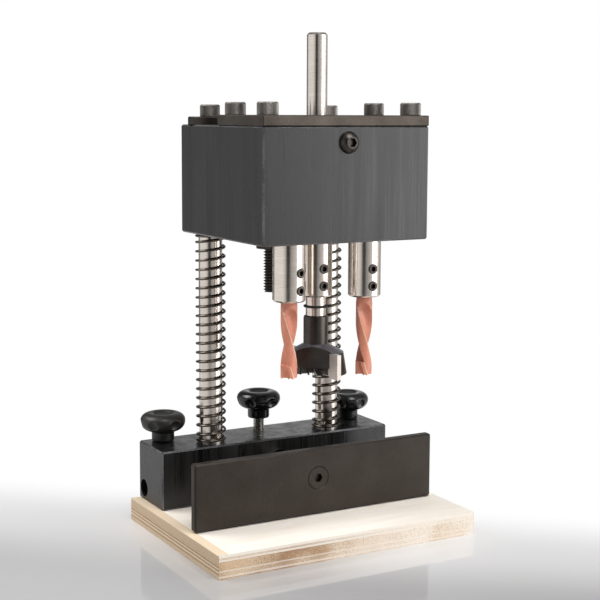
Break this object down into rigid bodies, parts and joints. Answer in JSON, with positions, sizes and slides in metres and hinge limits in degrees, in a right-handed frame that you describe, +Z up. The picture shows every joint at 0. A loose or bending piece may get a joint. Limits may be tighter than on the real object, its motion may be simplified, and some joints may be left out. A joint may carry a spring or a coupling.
{
  "type": "hinge drilling jig",
  "caption": "Bench jig that bores a hinge cup and its dowel holes at once: geared spindle head on sprung guide columns over a clamped fence.",
  "frame": {"origin": "centre of the plywood board's underside", "axes": "+X to the operator's right along the base bar, +Y away from the operator, +Z up along the guide columns and spindles"},
  "size_m": [0.142, 0.1098, 0.2479],
  "materials": {
    "birch_plywood": "sanded birch plywood with bare ply edges",
    "black_anodised_aluminium": "milled and black anodised, satin",
    "browned_steel": "browned rolled steel, dull",
    "black_oxide_steel": "black oxide, slightly oily",
    "ground_steel": "ground steel, bright satin",
    "spring_steel": "drawn spring wire",
    "gear_steel": "machined steel",
    "sintered_bronze": "sintered bronze",
    "orange_coating": "salmon orange coating, semi-gloss",
    "black_rubber": "black rubber",
    "black_knob_plastic": "moulded black plastic, glossy",
    "zinc_plated_steel": "bright zinc plate"
  },
  "bodies": {
    "base": {"plywood_board": "birch_plywood", "board_screws": "black_oxide_steel", "base_bar": "black_anodised_aluminium", "left_column": "ground_steel", "right_column": "ground_steel", "column_foot_screws": "black_oxide_steel", "column_washers": "browned_steel", "column_screws": "black_oxide_steel", "left_spring": "spring_steel", "right_spring": "spring_steel"},
    "head": {"head_block": "black_anodised_aluminium", "head_cover": "browned_steel", "cover_screws": "black_oxide_steel", "grease_plug": "black_oxide_steel", "lower_guide_bushes": "sintered_bronze", "upper_guide_bushes": "sintered_bronze", "lower_bearings": "gear_steel", "upper_bearings": "gear_steel", "bearing_spacers": "gear_steel", "depth_stop_nut": "black_oxide_steel"},
    "depth_stop": {"depth_stop_rod": "black_oxide_steel"},
    "centre_drive": {"centre_spindle": "ground_steel", "centre_gear": "gear_steel", "centre_key": "gear_steel", "centre_circlip": "spring_steel", "centre_grub_screws": "black_oxide_steel", "hinge_bit": "black_oxide_steel", "cutter_ring": "black_rubber"},
    "left_drive": {"left_spindle": "ground_steel", "left_gear": "gear_steel", "left_key": "gear_steel", "left_circlip": "spring_steel", "left_grub_screws": "black_oxide_steel", "left_drill": "orange_coating"},
    "right_drive": {"right_spindle": "ground_steel", "right_gear": "gear_steel", "right_key": "gear_steel", "right_circlip": "spring_steel", "right_grub_screws": "black_oxide_steel", "right_drill": "orange_coating"},
    "fence": {"fence_plate": "browned_steel", "fence_rod": "ground_steel", "fence_screw": "black_oxide_steel"},
    "left_stud": {"left_knob_stud": "zinc_plated_steel"},
    "left_clamp": {"left_knob": "black_knob_plastic"},
    "middle_stud": {"middle_knob_stud": "zinc_plated_steel"},
    "middle_clamp": {"middle_knob": "black_knob_plastic"},
    "right_stud": {"right_knob_stud": "zinc_plated_steel"},
    "right_clamp": {"right_knob": "black_knob_plastic"}
  },
  "joints": [
    {"name": "head_slide", "type": "slide", "parent": "base", "child": "head", "axis": [0, 0, -1], "range_m": [0, 0.036], "stiffness_N_per_m": 900, "springref_m": -0.06, "deforming": ["left_spring", "right_spring"]},
    {"name": "centre_spin", "type": "hinge", "parent": "head", "child": "centre_drive", "pos_m": [0, -0.0153, 0.16], "axis": [0, 0, 1], "continuous": true},
    {"name": "left_spin", "type": "hinge", "parent": "head", "child": "left_drive", "pos_m": [-0.021, -0.0263, 0.16], "axis": [0, 0, 1], "continuous": true},
    {"name": "right_spin", "type": "hinge", "parent": "head", "child": "right_drive", "pos_m": [0.021, -0.0263, 0.16], "axis": [0, 0, 1], "continuous": true},
    {"name": "stop_slide", "type": "slide", "parent": "head", "child": "depth_stop", "axis": [0, 0, 1], "range_m": [-0.04, 0.02]},
    {"name": "fence_slide", "type": "slide", "parent": "base", "child": "fence", "axis": [0, 1, 0], "range_m": [0, 0.036]},
    {"name": "left_stud_lift", "type": "slide", "parent": "base", "child": "left_stud", "axis": [0, 0, 1], "range_m": [0, 0.01]},
    {"name": "left_knob_turn", "type": "hinge", "parent": "left_stud", "child": "left_clamp", "pos_m": [-0.0555, 0.04585, 0.045], "axis": [0, 0, 1], "range_deg": [0, 3600]},
    {"name": "middle_stud_lift", "type": "slide", "parent": "base", "child": "middle_stud", "axis": [0, 0, 1], "range_m": [0, 0.004]},
    {"name": "middle_knob_turn", "type": "hinge", "parent": "middle_stud", "child": "middle_clamp", "pos_m": [0, 0.04585, 0.045], "axis": [0, 0, 1], "range_deg": [0, 1440]},
    {"name": "right_stud_lift", "type": "slide", "parent": "base", "child": "right_stud", "axis": [0, 0, 1], "range_m": [0, 0.01]},
    {"name": "right_knob_turn", "type": "hinge", "parent": "right_stud", "child": "right_clamp", "pos_m": [0.0555, 0.04585, 0.045], "axis": [0, 0, 1], "range_deg": [0, 3600]}
  ],
  "couplings": [
    {"joint": "left_spin", "follows": "centre_spin", "ratio": -1},
    {"joint": "right_spin", "follows": "centre_spin", "ratio": -1},
    {"joint": "left_stud_lift", "follows": "left_knob_turn", "m_per_rad": 0.00015915},
    {"joint": "middle_stud_lift", "follows": "middle_knob_turn", "m_per_rad": 0.00015915},
    {"joint": "right_stud_lift", "follows": "right_knob_turn", "m_per_rad": 0.00015915}
  ]
}
